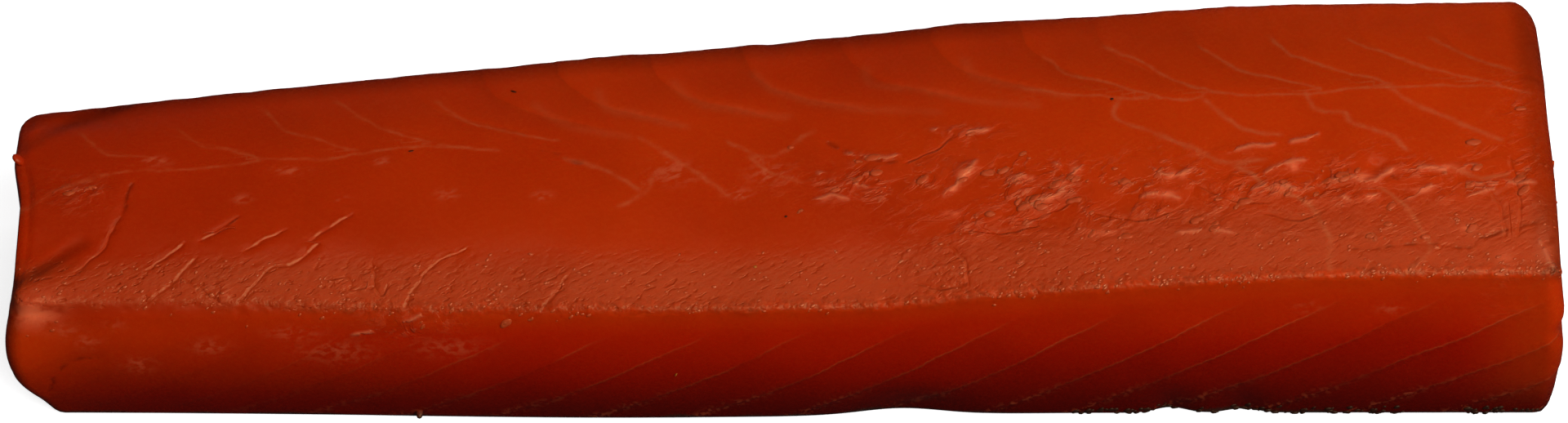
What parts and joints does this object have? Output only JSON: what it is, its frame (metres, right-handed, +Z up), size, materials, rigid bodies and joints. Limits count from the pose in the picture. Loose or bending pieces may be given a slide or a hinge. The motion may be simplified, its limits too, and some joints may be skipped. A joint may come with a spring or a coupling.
{
  "type": "smoked salmon loin",
  "caption": "Trimmed block of smoked salmon loin with a thick head end, a narrow tail end, a crowned top and a flat underside.",
  "frame": {"origin": "middle of the flat underside's bounding box, where the loin rests", "axes": "+X along the loin towards its thick head end, +Z up, -Y towards its straight trimmed side"},
  "size_m": [0.2058, 0.0534, 0.0308],
  "materials": {
    "salmon_flesh": "moist orange flesh with a satin sheen, thin pale fat lines and torn flakes"
  },
  "bodies": {
    "root": {"salmon_loin": "salmon_flesh"}
  },
  "joints": []
}
